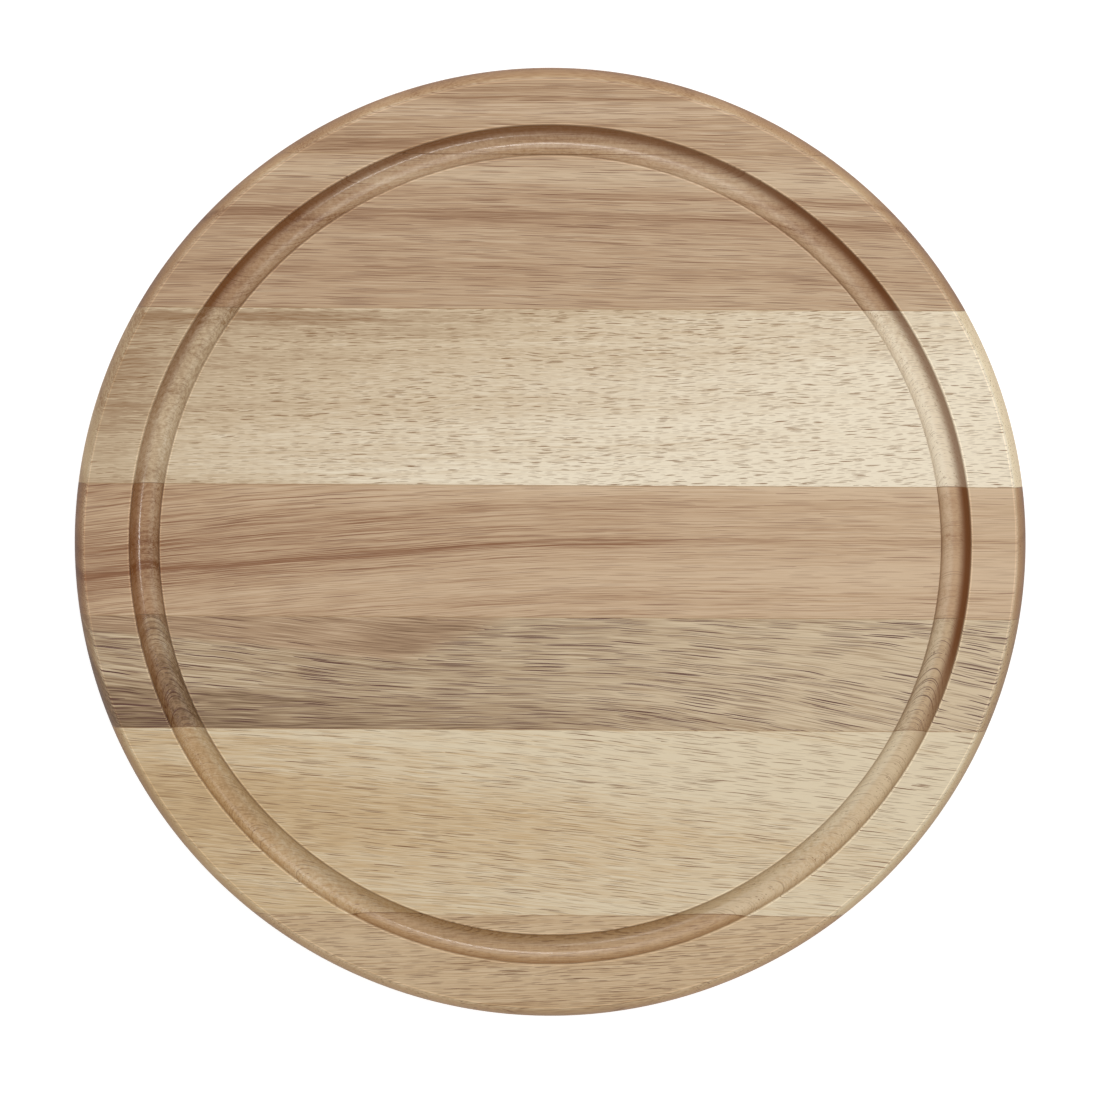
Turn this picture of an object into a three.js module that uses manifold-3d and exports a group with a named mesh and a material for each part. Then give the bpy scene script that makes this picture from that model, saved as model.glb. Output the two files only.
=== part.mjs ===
// A round serving board: seven staves edge-glued into a panel, turned to a disc with a rounded rim, then
// routed with a juice groove that runs unbroken across every stave and glue line.
// Millimetres, +Z up. +X runs along the grain, +Y runs across the staves to the back of the board, and the
// origin is the centre of the underside.

import * as THREE from "three";
import { mergeVertices } from "three/addons/utils/BufferGeometryUtils.js";
import Module from "manifold-3d";

// Disc
const BOARD_DIAMETER = 300;
const BOARD_THICKNESS = 15;

// Rim: one arc from the lower shoulder to the upper one, bulging past both
const RIM_BULGE = 3.5;

// Groove: a circular arc in section, as a round-nosed cutter leaves it
const GROOVE_INSET = 22.6; // from the widest point of the rim to the middle of the groove
const GROOVE_WIDTH = 9.5; // between its two rims, at the face
const GROOVE_DEPTH = 4;

// How far each sharp edge of the rim and the groove is sanded back
const EDGE_EASE = 0.5;

// Panel: the inner staves have set widths, and the back and front staves take what is left of the disc
const BACK_SEAM_Y = 123; // middle of the glue line behind stave 2
const STAVE_2_WIDTH = 47.9;
const STAVE_3_WIDTH = 55;
const STAVE_4_WIDTH = 41.3;
const STAVE_5_WIDTH = 35.4;
const STAVE_6_WIDTH = 58.9;
const GLUE_THICKNESS = 0.2;

// Facets
const TURN_STEPS = 120;
const RIM_STEPS = 8;
const GROOVE_STEPS = 8;
const EASE_STEPS = 2;
const WELD_DISTANCE = 1e-4;

const WOOD_ROUGHNESS = 0.5;
const GLUE_ROUGHNESS = 0.6;
const STAVE_COLOURS = {
  stave_1: "#b9966f",
  stave_2: "#b08c66",
  stave_3: "#d3bd95",
  stave_4: "#b88f68",
  stave_5: "#a5876a",
  stave_6: "#cdb387",
  stave_7: "#b3946c",
};
const GLUE_COLOUR = "#7a5a3c";

const wasm = await Module();
wasm.setup();

// The rounded corner between a flat that ends at one point and an arc that starts at another.
function eased(start, corner, end) {
  return new THREE.QuadraticBezierCurve(start, corner, end).getPoints(EASE_STEPS);
}

// Half of the disc's cross-section, from the middle of the underside round the rim to the middle of the face.
function discProfile() {
  const radius = BOARD_DIAMETER / 2;
  const face = BOARD_THICKNESS;
  const middle = BOARD_THICKNESS / 2;

  const shoulder = radius - RIM_BULGE;
  const rimRadius = (middle ** 2 + RIM_BULGE ** 2) / (2 * RIM_BULGE);
  const rimCentre = radius - rimRadius;
  const rimAngle = Math.atan2(middle, shoulder - rimCentre) - EDGE_EASE / rimRadius;
  const rim = new THREE.EllipseCurve(rimCentre, middle, rimRadius, rimRadius, -rimAngle, rimAngle);

  const grooveMiddle = radius - GROOVE_INSET;
  const grooveHalf = GROOVE_WIDTH / 2;
  const outerRim = grooveMiddle + grooveHalf;
  const innerRim = grooveMiddle - grooveHalf;
  const grooveRadius = (grooveHalf ** 2 + GROOVE_DEPTH ** 2) / (2 * GROOVE_DEPTH);
  const grooveCentre = face - GROOVE_DEPTH + grooveRadius;
  const grooveStart = Math.atan2(face - grooveCentre, grooveHalf) - EDGE_EASE / grooveRadius;
  const grooveEnd = -Math.PI - grooveStart;
  const groove = new THREE.EllipseCurve(
    grooveMiddle, grooveCentre, grooveRadius, grooveRadius, grooveStart, grooveEnd, true,
  );

  const at = (r, z) => new THREE.Vector2(r, z);
  return [
    at(0, 0),
    ...eased(at(shoulder - EDGE_EASE, 0), at(shoulder, 0), rim.getPoint(0)),
    ...rim.getPoints(RIM_STEPS),
    ...eased(rim.getPoint(1), at(shoulder, face), at(shoulder - EDGE_EASE, face)),
    ...eased(at(outerRim + EDGE_EASE, face), at(outerRim, face), groove.getPoint(0)),
    ...groove.getPoints(GROOVE_STEPS),
    ...eased(groove.getPoint(1), at(innerRim, face), at(innerRim - EDGE_EASE, face)),
    at(0, face),
  ];
}

// A closed geometry as a solid that can be cut. Triangles that shrink to nothing on the axis are left out.
function solidOf(geometry) {
  const bare = geometry.clone();
  bare.deleteAttribute("normal");
  bare.deleteAttribute("uv");
  const welded = mergeVertices(bare, WELD_DISTANCE);
  const corners = welded.index.array;
  const kept = [];
  for (let i = 0; i < corners.length; i += 3) {
    const [a, b, c] = corners.slice(i, i + 3);
    if (a !== b && b !== c && c !== a) kept.push(a, b, c);
  }
  const vertProperties = welded.getAttribute("position").array;
  return new wasm.Manifold(new wasm.Mesh({ numProp: 3, vertProperties, triVerts: new Uint32Array(kept) }));
}

// A cut solid as a named mesh.
function meshOf(solid, name, color, roughness) {
  const { vertProperties, triVerts } = solid.getMesh();
  const geometry = new THREE.BufferGeometry();
  geometry.setAttribute("position", new THREE.BufferAttribute(vertProperties, 3));
  geometry.setIndex(new THREE.BufferAttribute(triVerts, 1));
  geometry.computeVertexNormals();
  const material = new THREE.MeshStandardMaterial({ color, roughness, metalness: 0 });
  const mesh = new THREE.Mesh(geometry, material);
  mesh.name = name;
  return mesh;
}

// The turned and grooved disc, before it is divided along its glue lines.
function turnedDisc() {
  const lathe = new THREE.LatheGeometry(discProfile(), TURN_STEPS);
  lathe.rotateX(Math.PI / 2);
  return solidOf(lathe);
}

// The middle of each glue line, from the back of the board to the front.
function seamLines() {
  const innerWidths = [STAVE_2_WIDTH, STAVE_3_WIDTH, STAVE_4_WIDTH, STAVE_5_WIDTH, STAVE_6_WIDTH];
  const seams = [BACK_SEAM_Y];
  for (const width of innerWidths) {
    seams.push(seams.at(-1) - GLUE_THICKNESS - width);
  }
  return seams;
}

// Divides the disc from back to front. A stave or glue line that lies outside the disc has no solid and is
// left out.
function buildBoard() {
  const board = new THREE.Group();
  const across = [0, 1, 0];
  const seams = seamLines();
  let uncut = turnedDisc();
  Object.entries(STAVE_COLOURS).forEach(([name, colour], index) => {
    let stave = uncut;
    let glue = null;
    if (index < seams.length) {
      const backFace = seams[index] + GLUE_THICKNESS / 2;
      [stave, uncut] = uncut.splitByPlane(across, backFace);
      [glue, uncut] = uncut.splitByPlane(across, backFace - GLUE_THICKNESS);
    }
    if (!stave.isEmpty()) board.add(meshOf(stave, name, colour, WOOD_ROUGHNESS));
    if (glue && !glue.isEmpty()) {
      board.add(meshOf(glue, `glue_line_${index + 1}`, GLUE_COLOUR, GLUE_ROUGHNESS));
    }
  });
  return board;
}

export default buildBoard();
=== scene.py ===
"""A round serving board of seven edge-glued staves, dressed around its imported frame.

Metres, +Z up. +X runs along the grain, +Y runs across the staves to the back of the board, and the origin is
the centre of the underside. Values named in millimetres are scaled by MM where they meet Blender.
"""

import math
from dataclasses import dataclass

import bmesh
import bpy
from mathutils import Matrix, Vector


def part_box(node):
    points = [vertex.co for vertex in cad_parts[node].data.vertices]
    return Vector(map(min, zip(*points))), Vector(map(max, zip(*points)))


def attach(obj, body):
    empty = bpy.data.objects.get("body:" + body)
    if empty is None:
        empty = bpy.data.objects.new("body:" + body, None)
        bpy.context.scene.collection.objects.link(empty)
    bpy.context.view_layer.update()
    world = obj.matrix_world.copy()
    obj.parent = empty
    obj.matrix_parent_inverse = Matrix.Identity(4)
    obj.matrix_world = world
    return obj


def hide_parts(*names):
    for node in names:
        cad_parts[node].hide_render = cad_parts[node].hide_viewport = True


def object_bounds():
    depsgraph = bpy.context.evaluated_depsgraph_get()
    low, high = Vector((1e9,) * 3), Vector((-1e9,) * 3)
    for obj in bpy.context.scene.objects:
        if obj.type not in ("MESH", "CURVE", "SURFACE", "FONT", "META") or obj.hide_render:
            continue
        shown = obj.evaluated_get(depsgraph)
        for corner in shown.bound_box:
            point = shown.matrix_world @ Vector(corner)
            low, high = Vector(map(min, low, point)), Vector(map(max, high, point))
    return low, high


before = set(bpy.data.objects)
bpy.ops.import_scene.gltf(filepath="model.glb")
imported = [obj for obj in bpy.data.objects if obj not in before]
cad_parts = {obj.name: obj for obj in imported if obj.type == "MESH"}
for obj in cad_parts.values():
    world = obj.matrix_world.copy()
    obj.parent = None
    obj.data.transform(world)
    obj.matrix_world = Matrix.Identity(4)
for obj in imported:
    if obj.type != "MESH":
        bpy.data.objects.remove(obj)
CAD_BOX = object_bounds()

MM = 0.001

# Disc, as the frame gives it, in millimetres
BOARD_RADIUS = CAD_BOX[1].x / MM
BOARD_THICKNESS = CAD_BOX[1].z / MM

# Rim, groove and sanded edges, in millimetres
RIM_BULGE = 3.5
GROOVE_INSET = 22.6
GROOVE_WIDTH = 9.5
GROOVE_DEPTH = 4.0
EDGE_EASE = 0.5
SHOULDER_RADIUS = BOARD_RADIUS - RIM_BULGE
GROOVE_RADIUS = BOARD_RADIUS - GROOVE_INSET
GROOVE_HALF = GROOVE_WIDTH / 2

# Facets of the fine meshes, and how far the larger faces rule the shading at their edges
TURN_STEPS = 480
RIM_STEPS = 20
GROOVE_STEPS = 24
EASE_STEPS = 5
SHARP_ANGLE = math.radians(40)
FLAT_WEIGHT = 100

# How near counts as touching: a vertex to a cut, in metres, and a piece to the disc's end, in millimetres
CUT_TOLERANCE = 1e-7
END_TOLERANCE = 0.01

# Camera, with its lens and sensor in millimetres
VIEW_TILT = math.radians(4.7)
VIEW_ROLL = math.radians(0.29)
VIEW_DISTANCE = 1.2
VIEW_LENS = 125.2
VIEW_SENSOR = 36.0
VIEW_TARGET = Vector((-0.00055, -0.00056, CAD_BOX[1].z))

# Stage: the floor and the surround both glow, so the board throws hardly any shadow
WHITE = (1.0, 1.0, 1.0, 1.0)
SURROUND_GLOW = 0.605
FLOOR_HALF = 30.0
FLOOR_GREY = (0.5, 0.5, 0.5, 1.0)
FLOOR_ROUGHNESS = 0.9
FLOOR_GLOW = 0.75

# How far the floor lies below the board, and how far in from the rim its glow ends, which paints a soft
# contact shadow, in millimetres
FLOOR_DROP = 0.05
GLOW_INSET = 8.0


# Shapes


def arc(centre, radius, start, end, steps):
    """Points on a circle in the profile plane, from one angle to another."""
    angles = [start + (end - start) * i / steps for i in range(steps + 1)]
    return [(centre[0] + radius * math.cos(a), centre[1] + radius * math.sin(a)) for a in angles]


def eased(start, corner, end):
    """The inner points of a rounded corner between two curves."""
    points = []
    for i in range(1, EASE_STEPS):
        t = i / EASE_STEPS
        weights = ((1 - t) ** 2, 2 * t * (1 - t), t ** 2)
        pairs = list(zip(weights, (start, corner, end)))
        points.append(tuple(sum(w * p[k] for w, p in pairs) for k in range(2)))
    return points


def disc_profile():
    """Half of the section in millimetres, from the underside round the rim and the groove to the face."""
    middle = BOARD_THICKNESS / 2
    rim_radius = (middle ** 2 + RIM_BULGE ** 2) / (2 * RIM_BULGE)
    rim_centre = (BOARD_RADIUS - rim_radius, middle)
    rim_angle = math.atan2(middle, SHOULDER_RADIUS - rim_centre[0]) - EDGE_EASE / rim_radius
    rim = arc(rim_centre, rim_radius, -rim_angle, rim_angle, RIM_STEPS)

    nose = (GROOVE_HALF ** 2 + GROOVE_DEPTH ** 2) / (2 * GROOVE_DEPTH)
    groove_centre = (GROOVE_RADIUS, BOARD_THICKNESS - GROOVE_DEPTH + nose)
    start = math.atan2(BOARD_THICKNESS - groove_centre[1], GROOVE_HALF) - EDGE_EASE / nose
    groove = arc(groove_centre, nose, start, -math.pi - start, GROOVE_STEPS)

    flat = SHOULDER_RADIUS - EDGE_EASE
    outer, inner = GROOVE_RADIUS + GROOVE_HALF, GROOVE_RADIUS - GROOVE_HALF
    under, face = 0.0, BOARD_THICKNESS
    outer_flat, inner_flat = (outer + EDGE_EASE, face), (inner - EDGE_EASE, face)
    return [
        (flat, under),
        *eased((flat, under), (SHOULDER_RADIUS, under), rim[0]),
        *rim,
        *eased(rim[-1], (SHOULDER_RADIUS, face), (flat, face)),
        (flat, face),
        outer_flat,
        *eased(outer_flat, (outer, face), groove[0]),
        *groove,
        *eased(groove[-1], (inner, face), inner_flat),
        inner_flat,
    ]


def turned_disc():
    """The disc as a bmesh in metres: a ring of vertices for each profile point, closed by two flats."""
    disc = bmesh.new()
    rings = []
    for radius, height in disc_profile():
        ring = []
        for step in range(TURN_STEPS):
            turn = 2 * math.pi * step / TURN_STEPS
            place = (radius * math.cos(turn) * MM, radius * math.sin(turn) * MM, height * MM)
            ring.append(disc.verts.new(place))
        rings.append(ring)
    for low, high in zip(rings, rings[1:]):
        for step in range(TURN_STEPS):
            after = (step + 1) % TURN_STEPS
            disc.faces.new((low[step], low[after], high[after], high[step]))
    disc.faces.new(list(reversed(rings[0])))
    disc.faces.new(rings[-1])
    return disc


def cut_across(solid, y, keep_front):
    """Cuts a bmesh square to the staves at y, keeps one side and closes the cut."""
    parts = solid.verts[:] + solid.edges[:] + solid.faces[:]
    bmesh.ops.bisect_plane(
        solid,
        geom=parts,
        dist=CUT_TOLERANCE,
        plane_co=(0.0, y, 0.0),
        plane_no=(0.0, 1.0, 0.0),
        clear_outer=keep_front,
        clear_inner=not keep_front,
    )
    opened = [edge for edge in solid.edges if edge.is_boundary]
    bmesh.ops.holes_fill(solid, edges=opened, sides=0)


def board_piece(disc, node):
    """The slice of the disc that stands for one node of the frame, as a new object."""
    low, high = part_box(node)
    piece = disc.copy()
    if high.y < CAD_BOX[1].y - END_TOLERANCE * MM:
        cut_across(piece, high.y, keep_front=True)
    if low.y > CAD_BOX[0].y + END_TOLERANCE * MM:
        cut_across(piece, low.y, keep_front=False)
    bmesh.ops.recalc_face_normals(piece, faces=piece.faces[:])
    mesh = bpy.data.meshes.new(f"{node}_fine")
    piece.to_mesh(mesh)
    piece.free()
    mesh.polygons.foreach_set("use_smooth", [True] * len(mesh.polygons))
    mesh.set_sharp_from_angle(angle=SHARP_ANGLE)
    made = bpy.data.objects.new(f"{node}_fine", mesh)
    bpy.context.scene.collection.objects.link(made)
    weighted = made.modifiers.new("flat_faces_stay_flat", "WEIGHTED_NORMAL")
    weighted.keep_sharp = True
    weighted.weight = FLAT_WEIGHT
    return made


# Material helpers

# What the satin surface adds to every colour by reflection, and the darkest colour that may be left under it
SHEEN = 0.033
DARKEST = 0.01

# Sockets of the Mix node in its colour mode
MIX_FACTOR, MIX_FIRST, MIX_SECOND, MIX_RESULT = 0, 6, 7, 2


def tone(red, green, blue):
    """A seen colour in 0 to 255 display values, as the linear colour of a surface with a satin sheen."""
    linear = []
    # The standard curve from display values to linear light
    for value in (red, green, blue):
        share = value / 255
        bare = share / 12.92 if share <= 0.04045 else ((share + 0.055) / 1.055) ** 2.4
        linear.append(max(bare - SHEEN, DARKEST))
    return (*linear, 1.0)


class Nodes:
    """Short ways to add and link the shader nodes of one material."""

    def __init__(self, name):
        self.material = bpy.data.materials.new(name)
        self.material.use_nodes = True
        self.tree = self.material.node_tree
        self.surface = self.tree.nodes["Principled BSDF"]

    def add(self, kind, **settings):
        """A new node of a kind, with its settings."""
        node = self.tree.nodes.new(kind)
        for name, value in settings.items():
            setattr(node, name, value)
        return node

    def put(self, socket, value):
        """Links a socket to another one, or gives it a plain value."""
        if isinstance(value, bpy.types.NodeSocket):
            self.tree.links.new(value, socket)
        else:
            socket.default_value = value

    def give(self, name, value):
        """Gives the surface one of its values by name."""
        self.put(self.surface.inputs[name], value)

    def place(self):
        """The place on the piece, in metres."""
        return self.add("ShaderNodeTexCoord").outputs["Object"]

    def math(self, operation, *values, clamp=False):
        """The result of one operation on values or sockets."""
        node = self.add("ShaderNodeMath", operation=operation, use_clamp=clamp)
        for socket, value in zip(node.inputs, values):
            self.put(socket, value)
        return node.outputs[0]

    def rest(self, mask):
        """What a mask leaves of 1."""
        return self.math("SUBTRACT", 1.0, mask)

    def total(self, values):
        """The sum of several values."""
        result = values[0]
        for value in values[1:]:
            result = self.math("ADD", result, value)
        return result

    def weighed(self, values, weights):
        """The sum of several values, each times its weight."""
        return self.total([self.math("MULTIPLY", value, weight) for value, weight in zip(values, weights)])

    def vector(self, x, y, z):
        """Three values as one vector."""
        node = self.add("ShaderNodeCombineXYZ")
        for socket, value in zip(node.inputs, (x, y, z)):
            self.put(socket, value)
        return node.outputs[0]

    def parts(self, vector):
        """The three values in a vector."""
        node = self.add("ShaderNodeSeparateXYZ")
        self.put(node.inputs[0], vector)
        return node.outputs[0], node.outputs[1], node.outputs[2]

    def length(self, vector):
        """How long a vector is."""
        node = self.add("ShaderNodeVectorMath", operation="LENGTH")
        self.put(node.inputs[0], vector)
        return node.outputs["Value"]

    def step(self, value, low, high, start=0.0, end=1.0):
        """A smooth step from start, where value is low, to end, where it is high."""
        node = self.add("ShaderNodeMapRange", interpolation_type="SMOOTHSTEP")
        for socket, given in zip(node.inputs, (value, low, high, start, end)):
            self.put(socket, given)
        return node.outputs[0]

    def noise(self, vector, detail=2.0, roughness=0.5):
        """Fractal noise about zero, from -1 to 1."""
        node = self.add("ShaderNodeTexNoise", normalize=False)
        self.put(node.inputs["Vector"], vector)
        self.put(node.inputs["Scale"], 1.0)
        self.put(node.inputs["Detail"], detail)
        self.put(node.inputs["Roughness"], roughness)
        return node.outputs[0]

    def cells(self, vector, flat):
        """Distance to the nearest cell's point, and a random colour for each cell."""
        node = self.add("ShaderNodeTexVoronoi", voronoi_dimensions="2D" if flat else "3D")
        self.put(node.inputs["Vector"], vector)
        self.put(node.inputs["Scale"], 1.0)
        return node.outputs["Distance"], node.outputs["Color"]

    def mix(self, factor, first, second, blend="MIX"):
        """Two colours mixed or blended by a factor."""
        node = self.add("ShaderNodeMix", data_type="RGBA", blend_type=blend)
        self.put(node.inputs[MIX_FACTOR], factor)
        self.put(node.inputs[MIX_FIRST], first)
        self.put(node.inputs[MIX_SECOND], second)
        return node.outputs[MIX_RESULT]

    def ramp(self, factor, colours):
        """A colour from a ramp whose colours are evenly spaced."""
        node = self.add("ShaderNodeValToRGB")
        self.put(node.inputs[0], factor)
        marks = node.color_ramp.elements
        last = len(colours) - 1
        for i in range(1, last):
            marks.new(i / last)
        for mark, colour in zip(marks, colours):
            mark.color = colour
        return node.outputs[0]

    def bump(self, height, strength, distance):
        """The normal of a surface with that relief."""
        node = self.add("ShaderNodeBump")
        self.put(node.inputs["Height"], height)
        node.inputs["Strength"].default_value = strength
        node.inputs["Distance"].default_value = distance
        return node.outputs[0]


# Wood, with all its lengths in millimetres

# Past both ends of the board: a flow or streak that starts or ends here has no end of its own
OPEN = 400.0

# The run along the board that a rise or a bow is given for
RISE_RUN = 100.0


@dataclass
class Flow:
    """How the grain strays on a run along the board, fully at one place across it and not at another."""

    slope: float
    bow: float = 0.0
    start: float = -OPEN
    end: float = OPEN
    level_at: float = 0.0
    full_at: float = 0.0


@dataclass
class Streak:
    """A band along the grain: its place across, its reach to either side, and how it changes the tone."""

    at: float
    back: float
    front: float
    change: float
    start: float = -OPEN
    end: float = OPEN
    fade: float = 40.0
    skew: float = 0.0  # how far its ends slant along the grain, for each millimetre across
    closed: float = 0.0  # how far its pores are closed


@dataclass
class Stave:
    """What one stave's wood looks like. Lengths are in millimetres, and tone goes from deep 0 to pale 1."""

    slot: str
    deep: tuple
    middle: tuple
    pale: tuple
    pore: tuple
    flows: tuple
    streaks: tuple
    seed: float
    level: float  # tone at the middle of the board
    hairs: float  # darkness of the hairlines
    lean: float = 0.5  # how far the grain leans across, for each millimetre up
    wander: float = 1.0  # slow strays of the grain
    wobble: float = 0.25  # short strays of fibres and pores
    # The rise is partly the wood's own tone and partly painted light, lighter towards the right
    rise: float = 0.06  # tone gained over a run
    rings: float = 0.3
    ring_width: float = 7.0
    lines: float = 0.07
    fibres: float = 0.75
    fibre_length: float = 36.0
    hair_length: float = 20.0
    pores: float = 0.3  # how crowded the pores are
    pore_rise: float = 0.0  # crowding gained over a run
    pore_length: float = 36.0
    pore_width: float = 0.42
    pore_dark: float = 0.6
    soak: float = 1.0  # how much oil the cut surfaces take up
    end_dark: float = 0.6


STAVES = {
    "stave_1": Stave(
        slot="tan_wood",
        deep=(150, 116, 88),
        middle=(184, 154, 123),
        pale=(204, 179, 151),
        pore=(116, 80, 52),
        lean=0.7,
        level=0.54,
        rings=0.22,
        fibres=0.6,
        hairs=0.75,
        seed=3.0,
        flows=(Flow(0.004),),
        streaks=(
            Streak(at=125.0, back=5.5, front=2.0, change=-0.2, end=30.0),
            Streak(at=137.5, back=3.0, front=5.0, change=0.2),
            Streak(at=140.5, back=0.8, front=1.0, change=-0.2),
            Streak(at=143.4, back=0.9, front=1.4, change=-0.1),
        ),
    ),
    "stave_2": Stave(
        slot="brown_wood",
        deep=(146, 112, 86),
        middle=(184, 154, 124),
        pale=(204, 180, 151),
        pore=(112, 76, 48),
        lean=-0.6,
        level=0.6,
        rise=0.08,
        rings=0.18,
        fibres=0.55,
        hairs=0.75,
        seed=11.0,
        flows=(Flow(-0.02, bow=-1.0),),
        streaks=(
            Streak(at=117.0, back=6.0, front=6.0, change=0.26),
            Streak(at=110.2, back=1.8, front=2.0, change=-0.3, start=-5.0, fade=25.0),
            Streak(at=104.6, back=1.6, front=8.0, change=-0.22),
            Streak(at=104.0, back=1.4, front=2.2, change=-0.18),
            Streak(at=86.0, back=5.0, front=6.0, change=-0.06),
        ),
    ),
    "stave_3": Stave(
        slot="cream_wood",
        deep=(158, 128, 98),
        middle=(208, 187, 157),
        pale=(236, 223, 199),
        pore=(130, 94, 56),
        lean=1.2,
        wander=2.2,
        wobble=0.55,
        level=0.715,
        rise=0.22,
        rings=0.16,
        lines=0.05,
        fibres=0.32,
        fibre_length=9.0,
        hairs=0.5,
        hair_length=4.4,
        pores=0.75,
        pore_rise=0.35,
        pore_length=8.0,
        pore_dark=1.05,
        soak=0.35,
        end_dark=0.2,
        seed=23.0,
        flows=(Flow(0.025),),
        streaks=(
            Streak(at=75.0, back=2.0, front=11.0, change=-0.17, end=-10.0),
            Streak(at=75.0, back=2.0, front=30.0, change=-0.18),
            Streak(at=47.0, back=2.0, front=2.0, change=-0.12, end=20.0),
            Streak(at=18.0, back=30.0, front=5.0, change=0.26),
            Streak(at=20.0, back=14.0, front=5.0, change=-0.28, end=-70.0, fade=50.0),
            Streak(at=45.0, back=50.0, front=60.0, change=-0.2, end=-124.0, fade=14.0),
        ),
    ),
    "stave_4": Stave(
        slot="red_wood",
        deep=(142, 103, 77),
        middle=(190, 160, 129),
        pale=(208, 182, 152),
        pore=(114, 74, 48),
        wander=0.6,
        level=0.6,
        rise=0.18,
        rings=0.2,
        fibres=0.65,
        hairs=0.5,
        end_dark=0.8,
        seed=37.0,
        flows=(Flow(0.062, bow=-1.3, end=5.0, level_at=34.0, full_at=2.0),),
        streaks=(
            Streak(at=2.4, back=2.4, front=3.4, change=-0.33),
            Streak(at=2.1, back=1.4, front=1.9, change=-0.36, start=-45.0, end=50.0),
            Streak(at=8.0, back=8.0, front=5.0, change=-0.1, end=10.0),
            Streak(at=12.5, back=4.0, front=4.0, change=-0.06),
            Streak(at=9.7, back=2.0, front=2.5, change=-0.1, end=-40.0, fade=20.0),
            Streak(at=20.0, back=4.0, front=6.0, change=0.48, start=-50.0, fade=60.0),
            Streak(at=19.0, back=5.0, front=6.0, change=0.1, end=-60.0, fade=30.0),
            Streak(at=-6.0, back=5.0, front=18.0, change=0.17),
            Streak(at=-14.5, back=2.5, front=4.0, change=-0.12, start=-40.0),
        ),
    ),
    "stave_5": Stave(
        slot="dark_wood",
        deep=(116, 92, 71),
        middle=(172, 147, 118),
        pale=(210, 190, 160),
        pore=(92, 60, 30),
        lean=1.4,
        wander=1.2,
        wobble=0.35,
        level=0.745,
        rise=0.2,
        rings=0.16,
        ring_width=4.0,
        lines=0.17,
        fibres=0.5,
        fibre_length=18.0,
        hairs=1.2,
        hair_length=23.0,
        pores=0.72,
        pore_rise=0.08,
        pore_length=42.0,
        pore_width=0.38,
        pore_dark=1.2,
        seed=51.0,
        flows=(
            Flow(-0.1, end=-45.0, level_at=-60.0, full_at=-32.0),
            Flow(-0.05, start=15.0),
            Flow(-0.11, start=15.0, level_at=-18.0, full_at=-62.0),
        ),
        streaks=(
            Streak(at=-35.6, back=70.0, front=1.6, change=-0.05, end=-45.0, fade=8.0, skew=2.2, closed=1.0),
            Streak(at=-33.0, back=40.0, front=3.5, change=-0.22, start=-68.0, end=-40.0, fade=9.0, skew=2.2),
            Streak(at=-37.8, back=0.9, front=1.6, change=0.24, end=-50.0, fade=20.0),
            Streak(at=-43.5, back=5.0, front=6.0, change=0.2, end=-86.0, fade=22.0),
            Streak(at=-49.5, back=1.6, front=2.4, change=-0.16, end=-66.0, fade=24.0),
            Streak(at=-48.0, back=6.0, front=6.0, change=-0.12, start=-75.0),
            Streak(at=-56.5, back=9.0, front=9.0, change=-0.24),
            Streak(at=-21.0, back=6.0, front=9.0, change=-0.1, start=-10.0, fade=25.0),
        ),
    ),
    "stave_6": Stave(
        slot="pale_wood",
        deep=(166, 136, 100),
        middle=(201, 173, 134),
        pale=(221, 205, 176),
        pore=(120, 84, 44),
        lean=1.0,
        wander=1.8,
        wobble=0.4,
        level=0.77,
        rise=0.24,
        rings=0.18,
        fibres=0.4,
        fibre_length=16.0,
        hairs=0.6,
        hair_length=11.0,
        pores=0.55,
        pore_rise=0.15,
        pore_length=20.0,
        pore_dark=1.0,
        soak=0.8,
        seed=67.0,
        flows=(Flow(-0.085, bow=-1.0),),
        streaks=(
            Streak(at=-56.0, back=4.0, front=24.0, change=0.38),
            Streak(at=-92.0, back=14.0, front=14.0, change=-0.1),
            Streak(at=-113.0, back=10.0, front=8.0, change=0.14),
        ),
    ),
    "stave_7": Stave(
        slot="front_wood",
        deep=(150, 119, 86),
        middle=(190, 161, 126),
        pale=(206, 181, 148),
        pore=(112, 80, 48),
        lean=-0.8,
        level=0.78,
        hairs=0.7,
        hair_length=8.2,
        pores=0.75,
        pore_length=15.0,
        pore_dark=0.9,
        seed=83.0,
        flows=(Flow(0.05),),
        streaks=(
            Streak(at=-147.0, back=8.0, front=3.0, change=-0.25),
            Streak(at=-128.0, back=8.0, front=8.0, change=0.08),
        ),
    ),
}

# Figure that all staves share: sizes along and across the grain, and strays, in millimetres
DRIFT_LENGTH, DRIFT_WIDTH = 110.0, 40.0
WOBBLE_LENGTH, WOBBLE_WIDTH = 16.0, 4.5
BEND_EASE = 40.0
RAGGED = 0.7
RING_LENGTH = 420.0
LINE_LENGTH, LINE_WIDTH = 80.0, 0.8
FIBRE_WIDTH = 0.25
SHORT_LENGTH, SHORT_WIDTH = 6.0, 0.28
HAIR_WIDTH = 0.4
PATCH_LENGTH, PATCH_WIDTH = 60.0, 9.0
SPECKLE_SIZE = 1.2

# Strengths that all staves share, and how much of the figure is lost on the rim and in the groove
SHORT_SHARE = 0.25
STREAK_LINES = 0.9
SPECKLE_SHARE = 0.2
PATCH_SHARE = 0.5
HAIR_CROWDING, HAIR_CLOSING = 0.8, 0.7
RIM_CALM, GROOVE_CALM, GROOVE_FILLING = 0.35, 0.55, 0.3

# Added to a stave's seed, so that two textures of one kind differ
SHORT_SEED, HAIR_SEED = 2.5, 5.5

# One pore or hairline: its radius in texture cells, how size and ink vary, and how much of it is fully dark
PORE_RADIUS = 0.33
LEAST_SIZE, MORE_SIZE = 0.65, 0.55
LEAST_INK, MORE_INK = 0.25, 0.75
DARK_CORE = 0.74
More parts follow.
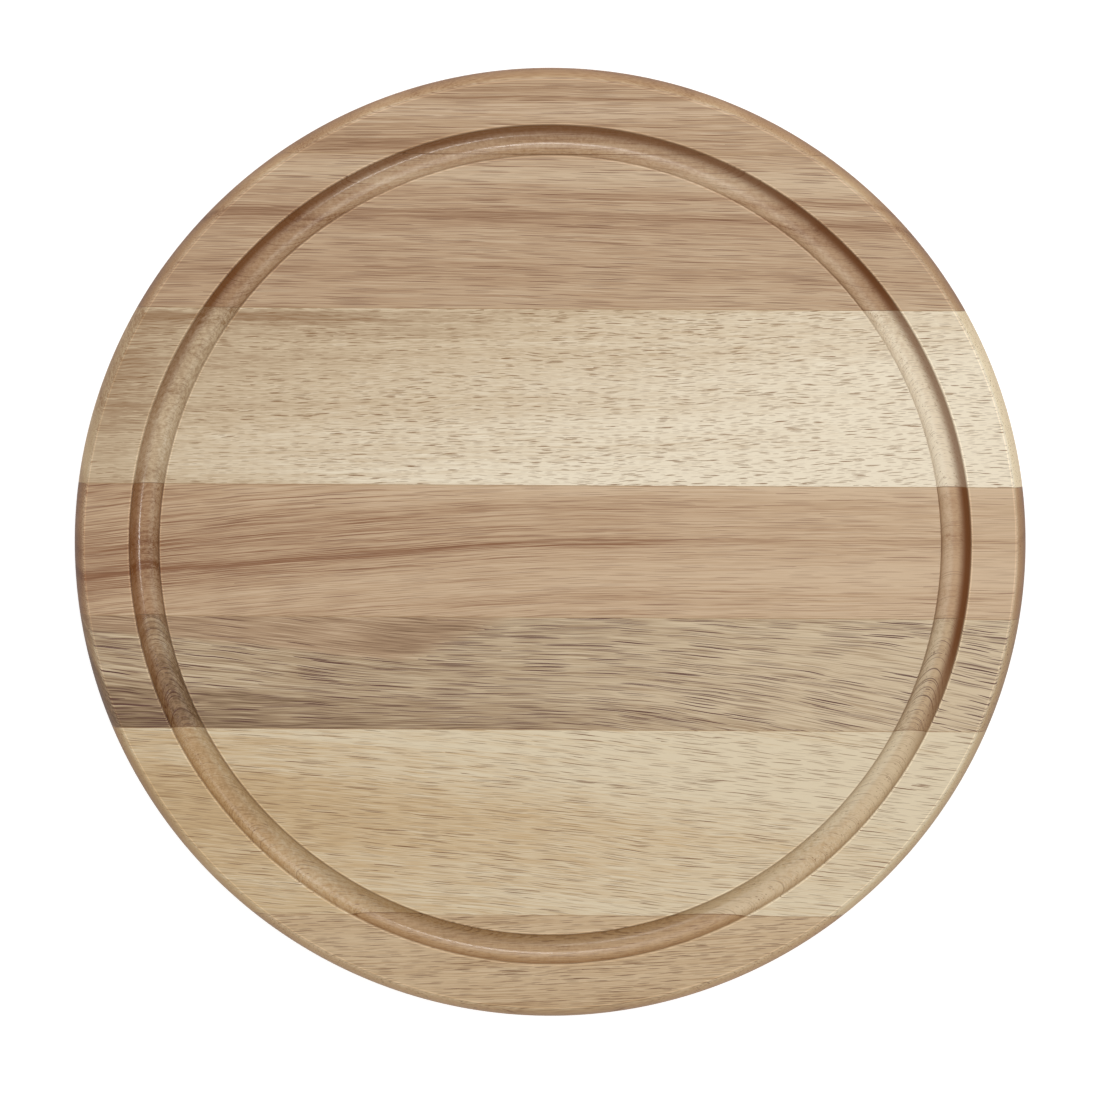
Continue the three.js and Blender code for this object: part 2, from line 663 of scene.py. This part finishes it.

# How cut surfaces take up oil, and the other tints of the wood, among them painted shade on steep walls and
# in the groove, and painted highlights on the edges
OIL_TINT = (0.88, 0.80, 0.72, 1.0)
# Painted shade on steep cut surfaces, scaled by how much oil the stave takes up
STEEP_SHADE_TINT = (0.55, 0.42, 0.30, 1.0)
END_TINT = (0.50, 0.38, 0.28, 1.0)
# Painted shade on the groove's outer wall, with some oil darkening: the brown it is mixed towards, and the
# least share of it, for a stave that takes up no oil
OIL_AND_SHADE_WALL = (122, 82, 44)
WALL_SHARE = 0.6
# Painted shade on the inner wall at the front of the groove
FRONT_SHADE_TINT = (0.78, 0.68, 0.55, 1.0)
RIM_TINT = (1.0, 0.99, 0.91, 1.0)
CLOSED_TINT = (1.0, 0.93, 0.92, 1.0)
# Painted highlights along the sanded edges
EDGE_HIGHLIGHT_TINT = (1.26, 1.25, 1.23, 1.0)

# Where the masks of cut surfaces start and are full, in millimetres below a flat or from an edge
CUT_START, CUT_FULL = 0.15, 1.2
HIGHLIGHT_FULL, HIGHLIGHT_END = 0.2, 0.6
GROOVE_SOFT = 0.3
RIM_INSIDE, RIM_OUTSIDE = 0.2, 0.8
EDGE_INSET, EDGE_HALF = 0.4, 0.3

# The same by the way a surface faces, in parts of its normal, and how much end grain the groove doesn't show
INNER_FULL = 0.35
OUTER_FULL, OUTER_START = -0.75, -0.15
STEEP_FULL, STEEP_START = 0.1, 0.8
END_START = 0.35
GROOVE_END_LOSS = 0.8

# Where shade and light are painted on the groove, in millimetres along and across the board, and how
# strongly
SHADE_START, SHADE_END = -75.0, -25.0
SHADE_SIDE = 120.0
REAR_START, REAR_END = 10.0, 70.0
BACK_START, BACK_END = 85.0, 120.0
LEFT_SHADE, REAR_SHADE, BACK_SHADE = 0.5, 0.85, 0.85
BACK_LIGHT = 0.7

# Satin: roughness, where along the board the groove turns dull, and relief with its depth in millimetres
FACE_ROUGHNESS = 0.48
RIM_ROUGHNESS = 0.62
GROOVE_ROUGHNESS, DULL_ROUGHNESS = 0.16, 0.42
PORE_ROUGHNESS = 0.2
DULL_START, DULL_END = -20.0, 90.0
FIBRE_HEIGHT = 0.25
RELIEF, RELIEF_DEPTH = 0.18, 0.05


def strayed(n, flow, x, y):
    """How far across the board one flow carries the grain."""
    origin = min(max(0.0, flow.start), flow.end)
    run = x
    if flow.start > -OPEN:
        run = n.math("SMOOTH_MAX", run, flow.start, BEND_EASE)
    if flow.end < OPEN:
        run = n.math("SMOOTH_MIN", run, flow.end, BEND_EASE)
    run = n.math("SUBTRACT", run, origin)
    share = n.math("MULTIPLY", run, 1 / RISE_RUN)
    bowed = n.math("MULTIPLY", n.math("MULTIPLY", share, share), flow.bow)
    carried = n.math("MULTIPLY_ADD", run, flow.slope, bowed)
    if flow.level_at > flow.full_at:
        carried = n.math("MULTIPLY", carried, n.step(y, flow.full_at, flow.level_at, 1.0, 0.0))
    if flow.level_at < flow.full_at:
        carried = n.math("MULTIPLY", carried, n.step(y, flow.level_at, flow.full_at))
    return carried


def grain(n, look):
    """The place in millimetres along, across and up, first on the board and then in straightened grain."""
    scaled = n.add("ShaderNodeVectorMath", operation="SCALE")
    n.put(scaled.inputs[0], n.place())
    n.put(scaled.inputs["Scale"], 1 / MM)
    x, y, z = n.parts(scaled.outputs[0])

    leaning = n.math("MULTIPLY", n.math("SUBTRACT", z, BOARD_THICKNESS), look.lean)
    drift_place = n.vector(
        n.math("MULTIPLY_ADD", x, 1 / DRIFT_LENGTH, look.seed),
        n.math("MULTIPLY", y, 1 / DRIFT_WIDTH),
        n.math("MULTIPLY", z, 1 / DRIFT_WIDTH),
    )
    drift = n.math("MULTIPLY", n.noise(drift_place, detail=1.0), look.wander)
    carried = n.total([strayed(n, flow, x, y) for flow in look.flows])
    across = n.total([n.math("SUBTRACT", y, carried), leaning, drift])
    return (x, y, z), (x, across, z)


def shifted(n, place, noise, reach):
    """A place moved across the grain by a noise."""
    along, across, up = place
    return along, n.math("MULTIPLY_ADD", noise, reach, across), up


def stretched(n, place, length, width, seed):
    """A texture place whose features are that long along the grain and that wide across it."""
    along, across, up = place
    return n.vector(
        n.math("MULTIPLY_ADD", along, 1 / length, seed),
        n.math("MULTIPLY", across, 1 / width),
        n.math("MULTIPLY_ADD", up, 1 / width, seed),
    )


def streak_shape(n, streak, place):
    """One streak's outline from 0 to 1, tapering off across the grain and at its two ends."""
    along, across, _ = place
    back = n.step(across, streak.at, streak.at + streak.back, 1.0, 0.0)
    front = n.step(across, streak.at - streak.front, streak.at, 0.0, 1.0)
    shape = n.math("MULTIPLY", back, front)
    if streak.skew:
        along = n.math("MULTIPLY_ADD", n.math("SUBTRACT", across, streak.at), -streak.skew, along)
    if streak.start > -OPEN:
        low, high = streak.start - streak.fade, streak.start + streak.fade
        shape = n.math("MULTIPLY", shape, n.step(along, low, high))
    if streak.end < OPEN:
        low, high = streak.end - streak.fade, streak.end + streak.fade
        shape = n.math("MULTIPLY", shape, n.step(along, low, high, 1.0, 0.0))
    return shape


def fibre_noise(n, look, place):
    """Long fibres, with shorter and fainter ones among them."""
    long_place = stretched(n, place, look.fibre_length, FIBRE_WIDTH, look.seed)
    short_place = stretched(n, place, SHORT_LENGTH, SHORT_WIDTH, look.seed + SHORT_SEED)
    short_fibres = n.noise(short_place, detail=0.0)
    return n.math("MULTIPLY_ADD", short_fibres, SHORT_SHARE, n.noise(long_place, detail=1.0))


def dashes(n, place, crowding, flat):
    """Slender cells of mixed size and darkness, from a flat texture or from one that fills the wood."""
    distance, colour = n.cells(place, flat)
    chance, size, ink = n.parts(colour)
    open_here = n.math("LESS_THAN", chance, crowding)
    reach = n.math("MULTIPLY_ADD", size, PORE_RADIUS * MORE_SIZE, PORE_RADIUS * LEAST_SIZE)
    dash = n.step(n.math("DIVIDE", distance, reach), DARK_CORE, 1.0, 1.0, 0.0)
    strength = n.math("MULTIPLY_ADD", n.math("MULTIPLY", ink, ink), MORE_INK, LEAST_INK)
    return n.math("MULTIPLY", dash, n.math("MULTIPLY", open_here, strength))


def pore_masks(n, look, place, closed, rim):
    """The open pores, crowded in patches, and the finer hairlines between them, which stop at the rim."""
    patches = n.noise(stretched(n, place, PATCH_LENGTH, PATCH_WIDTH, look.seed), detail=2.0)
    rising = n.math("MULTIPLY_ADD", place[0], look.pore_rise / RISE_RUN, look.pores)
    crowding = n.math("MULTIPLY_ADD", patches, PATCH_SHARE, rising)
    crowding = n.math("SUBTRACT", crowding, closed)
    pore_place = stretched(n, place, look.pore_length, look.pore_width, look.seed)
    pores = dashes(n, pore_place, crowding, flat=False)

    few = n.math("MULTIPLY_ADD", closed, -HAIR_CLOSING, HAIR_CROWDING)
    hair_place = stretched(n, place, look.hair_length, HAIR_WIDTH, look.seed + HAIR_SEED)
    hairs = dashes(n, hair_place, few, flat=True)
    return pores, n.math("MULTIPLY", hairs, n.rest(rim))


@dataclass
class Cuts:
    """Masks for the surfaces that are cut across the wood, each from 0 to 1, some of them for painted shade,
    light or highlights.
    """

    oiled: object
    steep: object
    end: object
    shade: object
    rim: object
    edge_highlight: object
    groove: object
    front: object


def facing(n, normal, flat_place, radius):
    """How far a surface faces away from the middle of the board: 1 is outward and -1 is inward."""
    dot = n.add("ShaderNodeVectorMath", operation="DOT_PRODUCT")
    n.put(dot.inputs[0], normal)
    n.put(dot.inputs[1], flat_place)
    return n.math("DIVIDE", dot.outputs["Value"], radius)


def painted_wall_shade(n, x, y, outer_wall):
    """Painted shade on the groove's outer wall, with some oil darkening: fullest on the right, and none at
    the front.
    """
    right = n.step(x, -SHADE_SIDE, SHADE_SIDE, LEFT_SHADE, 1.0)
    rear = n.step(y, REAR_START, REAR_END, 0.0, REAR_SHADE)
    side = n.math("MAXIMUM", right, rear)
    side = n.math("MULTIPLY", side, n.step(y, BACK_START, BACK_END, 1.0, BACK_SHADE))
    behind = n.math("MULTIPLY", n.step(y, SHADE_START, SHADE_END), side)
    return n.math("MULTIPLY", outer_wall, behind)


def painted_edge_highlights(n, x, radius, below):
    """Painted highlights: pale lines along the sanded edges of the rim and the groove, the innermost one not
    on the right.
    """
    outer = GROOVE_RADIUS + GROOVE_HALF + EDGE_INSET
    inner = GROOVE_RADIUS - GROOVE_HALF - EDGE_INSET
    shares = []
    for edge in (SHOULDER_RADIUS - EDGE_INSET, outer, inner):
        away = n.math("ABSOLUTE", n.math("SUBTRACT", radius, edge))
        shares.append(n.step(away, 0.0, EDGE_HALF, 1.0, 0.0))
    shares[-1] = n.math("MULTIPLY", shares[-1], n.step(x, SHADE_SIDE / 2, SHADE_SIDE, 1.0, 0.0))
    return n.math("MULTIPLY", n.total(shares), n.step(below, HIGHLIGHT_FULL, HIGHLIGHT_END, 1.0, 0.0))


def cut_masks(n, place):
    """Which cut surface a place lies on: groove or rim, how steep it is, which way it faces, and where
    shade, light and highlights are painted on it.
    """
    x, y, z = place
    below = n.math("SUBTRACT", BOARD_THICKNESS, z)
    cut = n.math("MULTIPLY", n.step(below, CUT_START, CUT_FULL), n.step(z, CUT_START, CUT_FULL))
    flat_place = n.vector(x, y, 0.0)
    radius = n.length(flat_place)
    normal = n.add("ShaderNodeNewGeometry").outputs["Normal"]
    outward = facing(n, normal, flat_place, radius)

    aside = n.math("ABSOLUTE", n.math("SUBTRACT", radius, GROOVE_RADIUS))
    within = n.step(aside, GROOVE_HALF - GROOVE_SOFT, GROOVE_HALF + GROOVE_SOFT, 1.0, 0.0)
    groove = n.math("MULTIPLY", within, cut)
    inner_wall = n.math("MULTIPLY", groove, n.step(outward, 0.0, INNER_FULL))
    outer_wall = n.math("MULTIPLY", groove, n.step(outward, OUTER_FULL, OUTER_START, 1.0, 0.0))
    # Painted shade on the inner wall at the front of the groove
    front = n.math("MULTIPLY", inner_wall, n.step(y, -BACK_END, -BACK_START, 1.0, 0.0))
    shade = painted_wall_shade(n, x, y, outer_wall)
    # Painted light: the back of the groove loses part of its oil and steep darkening
    unlit = n.rest(n.math("MULTIPLY", groove, n.step(y, BACK_START, BACK_END, 0.0, BACK_LIGHT)))
    rim = n.step(radius, SHOULDER_RADIUS - RIM_INSIDE, SHOULDER_RADIUS + RIM_OUTSIDE)
    # Painted highlights along the sanded edges
    edge_highlight = painted_edge_highlights(n, x, radius, below)

    along, _, up = n.parts(normal)
    # Oil darkening on cut surfaces, left off the groove's inner wall and lessened at the groove's back, both
    # as painted light
    oiled = n.math("MULTIPLY", n.math("MULTIPLY", cut, n.rest(inner_wall)), unlit)
    # Painted shade on steep surfaces, left out where the outer wall's painted shade or the back's painted
    # light stands
    steep = n.step(n.math("ABSOLUTE", up), STEEP_FULL, STEEP_START, 1.0, 0.0)
    steep = n.math("MULTIPLY", steep, n.math("MULTIPLY", n.rest(shade), unlit))
    end = n.step(n.math("ABSOLUTE", along), END_START, 1.0)
    end = n.math("MULTIPLY", end, n.math("MULTIPLY_ADD", groove, -GROOVE_END_LOSS, 1.0))
    return Cuts(oiled, steep, end, shade, rim, edge_highlight, groove, front)


def tone_level(n, look, board, ragged, lines, fibres, streaks, cuts):
    """The tone of the wood at a place, from deep to pale."""
    rings = n.noise(stretched(n, ragged, RING_LENGTH, look.ring_width, look.seed), detail=1.6, roughness=0.5)
    figure = n.weighed((rings, lines), (look.rings, look.lines))
    calm = n.math("MULTIPLY_ADD", cuts.groove, -GROOVE_CALM, 1.0)
    calm = n.math("MULTIPLY_ADD", cuts.rim, -RIM_CALM, calm)
    speckle_place = stretched(n, board, SPECKLE_SIZE, SPECKLE_SIZE, look.seed)
    speckle = n.noise(speckle_place, detail=2.0, roughness=0.7)
    return n.total([
        # Tone rising along the board: partly the wood's own, partly painted light, lighter towards the right
        n.math("MULTIPLY_ADD", board[0], look.rise / RISE_RUN, look.level),
        n.math("MULTIPLY", figure, calm),
        n.math("MULTIPLY", n.math("MULTIPLY", fibres, look.fibres), calm),
        n.math("MULTIPLY", n.math("MULTIPLY", speckle, SPECKLE_SHARE), cuts.groove),
        n.math("MULTIPLY", streaks, n.math("MULTIPLY_ADD", lines, STREAK_LINES, 1.0)),
    ])


def oiled_colour(n, look, cuts, colour):
    """The wood's colour with the oil that cut surfaces take up, with painted shade on steep walls and in the
    groove, and with painted highlights on the edges.
    """
    colour = n.mix(n.math("MULTIPLY", cuts.oiled, look.soak), colour, OIL_TINT, "MULTIPLY")
    # Painted shade on steep surfaces, scaled by how much oil the stave takes up
    colour = n.mix(n.math("MULTIPLY", cuts.steep, look.soak), colour, STEEP_SHADE_TINT, "MULTIPLY")
    colour = n.mix(n.math("MULTIPLY", cuts.end, look.end_dark), colour, END_TINT, "MULTIPLY")
    # Painted shade on the groove's outer wall, with some oil darkening
    wall_oil_and_shade = n.math("MULTIPLY", cuts.shade, WALL_SHARE + (1 - WALL_SHARE) * look.soak)
    colour = n.mix(wall_oil_and_shade, colour, tone(*OIL_AND_SHADE_WALL))
    # Painted shade on the inner wall at the front of the groove
    colour = n.mix(cuts.front, colour, FRONT_SHADE_TINT, "MULTIPLY")
    colour = n.mix(cuts.rim, colour, RIM_TINT, "MULTIPLY")
    # Painted highlights along the sanded edges
    return n.mix(cuts.edge_highlight, colour, EDGE_HIGHLIGHT_TINT, "MULTIPLY")


def satin(n, x, pores, cuts):
    """Roughness: even satin, duller on the rim and in open pores, and glossy in the left of the groove."""
    outside = n.step(cuts.rim, 0.0, 1.0, FACE_ROUGHNESS, RIM_ROUGHNESS)
    polished = n.step(x, DULL_START, DULL_END, GROOVE_ROUGHNESS, DULL_ROUGHNESS)
    shine = n.step(cuts.groove, 0.0, 1.0, outside, polished)
    return n.math("MULTIPLY_ADD", pores, PORE_ROUGHNESS, shine)


def wood(node, look):
    """The oiled wood of one stave."""
    n = Nodes(f"{node}_wood")
    board, straight = grain(n, look)
    cuts = cut_masks(n, board)
    lines = n.noise(stretched(n, straight, LINE_LENGTH, LINE_WIDTH, look.seed), detail=3.0, roughness=0.6)
    ragged = shifted(n, straight, lines, RAGGED)
    wobble = n.noise(stretched(n, straight, WOBBLE_LENGTH, WOBBLE_WIDTH, look.seed), detail=1.0)
    wavy = shifted(n, straight, wobble, look.wobble)
    fibres = fibre_noise(n, look, wavy)

    shapes = [streak_shape(n, streak, ragged) for streak in look.streaks]
    streaks = n.weighed(shapes, [streak.change for streak in look.streaks])
    closed = n.weighed(shapes, [streak.closed for streak in look.streaks])
    closed = n.math("MINIMUM", closed, 1.0)
    level = tone_level(n, look, board, ragged, lines, fibres, streaks, cuts)
    colour = n.ramp(level, (tone(*look.deep), tone(*look.middle), tone(*look.pale)))

    pores, hairs = pore_masks(n, look, wavy, closed, cuts.rim)
    pores_dark = n.math("MULTIPLY", pores, look.pore_dark)
    dark = n.math("ADD", pores_dark, n.math("MULTIPLY", hairs, look.hairs), clamp=True)
    dark = n.math("MULTIPLY", dark, n.math("MULTIPLY_ADD", cuts.groove, -GROOVE_FILLING, 1.0))
    colour = n.mix(dark, colour, tone(*look.pore))
    colour = n.mix(closed, colour, CLOSED_TINT, "MULTIPLY")

    height = n.math("MULTIPLY_ADD", dark, -1.0, n.math("MULTIPLY", fibres, FIBRE_HEIGHT))
    n.give("Base Color", oiled_colour(n, look, cuts, colour))
    n.give("Roughness", satin(n, board[0], pores, cuts))
    n.give("Normal", n.bump(height, RELIEF, RELIEF_DEPTH * MM))
    return n.material


# Glue

# Colours, waves to the metre along, across and up, roughness, and relief with its depth in millimetres
GLUE_DEEP, GLUE_PALE = (150, 118, 84), (186, 156, 120)
GLUE_WAVES = (60.0, 2.0, 200.0)
GLUE_ROUGHNESS, GLUE_UNEVEN = 0.5, 0.1
GLUE_RELIEF, GLUE_DEPTH = 0.2, 0.02


def cured_glue():
    """Thin amber-brown glue, a little uneven along its length."""
    n = Nodes("cured_glue")
    place = n.parts(n.place())
    waves = [n.math("MULTIPLY", part, count) for part, count in zip(place, GLUE_WAVES)]
    uneven = n.noise(n.vector(*waves), detail=3.0)
    from_0_to_1 = n.math("MULTIPLY_ADD", uneven, 0.5, 0.5)
    colour = n.ramp(from_0_to_1, (tone(*GLUE_DEEP), tone(*GLUE_PALE)))
    below = n.math("SUBTRACT", BOARD_THICKNESS * MM, place[2])
    colour = n.mix(n.step(below, CUT_START * MM, CUT_FULL * MM), colour, END_TINT, "MULTIPLY")
    n.give("Base Color", colour)
    n.give("Roughness", n.math("MULTIPLY_ADD", uneven, GLUE_UNEVEN, GLUE_ROUGHNESS))
    n.give("Normal", n.bump(uneven, GLUE_RELIEF, GLUE_DEPTH * MM))
    return n.material


# Stage


def pale_floor():
    """Matt grey that glows, except under the board; the glow fading in under its edge paints a soft contact
    shadow.
    """
    n = Nodes("pale_floor")
    away = n.length(n.place())
    glow = n.step(away, (BOARD_RADIUS - GLOW_INSET) * MM, BOARD_RADIUS * MM, 0.0, FLOOR_GLOW)
    n.give("Base Color", FLOOR_GREY)
    n.give("Roughness", FLOOR_ROUGHNESS)
    n.give("Specular IOR Level", 0.0)
    n.give("Emission Color", WHITE)
    n.give("Emission Strength", glow)
    return n.material


def floor():
    """A wide pale floor under the board."""
    half = FLOOR_HALF
    mesh = bpy.data.meshes.new("floor")
    corners = [(-half, -half, 0.0), (half, -half, 0.0), (half, half, 0.0), (-half, half, 0.0)]
    mesh.from_pydata(corners, [], [(0, 1, 2, 3)])
    mesh.materials.append(pale_floor())
    made = bpy.data.objects.new("floor", mesh)
    made.location.z = -FLOOR_DROP * MM
    bpy.context.scene.collection.objects.link(made)


def camera():
    """Nearly straight down, from a little behind the board."""
    lens = bpy.data.cameras.new("camera")
    lens.lens = VIEW_LENS
    lens.sensor_width = VIEW_SENSOR
    made = bpy.data.objects.new("camera", lens)
    back = Vector((0.0, math.sin(VIEW_TILT), math.cos(VIEW_TILT)))
    made.location = VIEW_TARGET + back * VIEW_DISTANCE
    made.rotation_euler = (-VIEW_TILT, 0.0, VIEW_ROLL)
    bpy.context.scene.collection.objects.link(made)
    bpy.context.scene.camera = made


def softbox(name, from_above, bearing, distance, size, watts):
    """A rectangular light facing the board: degrees from straight above, and bearing from +X towards +Y."""
    light = bpy.data.lights.new(name, "AREA")
    light.shape = "RECTANGLE"
    light.size, light.size_y = size
    light.energy = watts
    made = bpy.data.objects.new(name, light)
    polar, turn = math.radians(from_above), math.radians(bearing)
    out = math.sin(polar)
    towards = Vector((out * math.cos(turn), out * math.sin(turn), math.cos(polar)))
    made.location = towards * distance
    made.rotation_euler = (0.0, polar, turn)
    made.visible_camera = False
    bpy.context.scene.collection.objects.link(made)


def lights():
    """A broad soft light from the back, three small ones for the glints, and an even white surround."""
    softbox("broad_light", from_above=42.0, bearing=82.0, distance=1.0, size=(0.6, 1.6), watts=3.75)
    softbox("right_light", from_above=34.0, bearing=-10.0, distance=0.8, size=(0.1, 0.04), watts=0.35)
    softbox("back_light", from_above=29.0, bearing=84.0, distance=1.4, size=(0.12, 0.42), watts=1.95)
    softbox("front_light", from_above=34.0, bearing=-74.0, distance=0.9, size=(0.05, 0.2), watts=0.5)
    world = bpy.data.worlds.new("surround")
    world.use_nodes = True
    surround = world.node_tree.nodes["Background"]
    surround.inputs["Color"].default_value = WHITE
    surround.inputs["Strength"].default_value = SURROUND_GLOW
    bpy.context.scene.world = world
    bpy.context.scene.view_settings.view_transform = "Standard"


# The board


def dress():
    """Puts a fine piece in place of every node of the frame."""
    disc = turned_disc()
    glue = cured_glue()
    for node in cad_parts:
        piece = board_piece(disc, node)
        if node in STAVES:
            piece.data.materials.append(wood(node, STAVES[node]))
        else:
            piece.data.materials.append(glue)
        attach(piece, "root")
        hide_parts(node)
    disc.free()


camera()
floor()
lights()
dress()
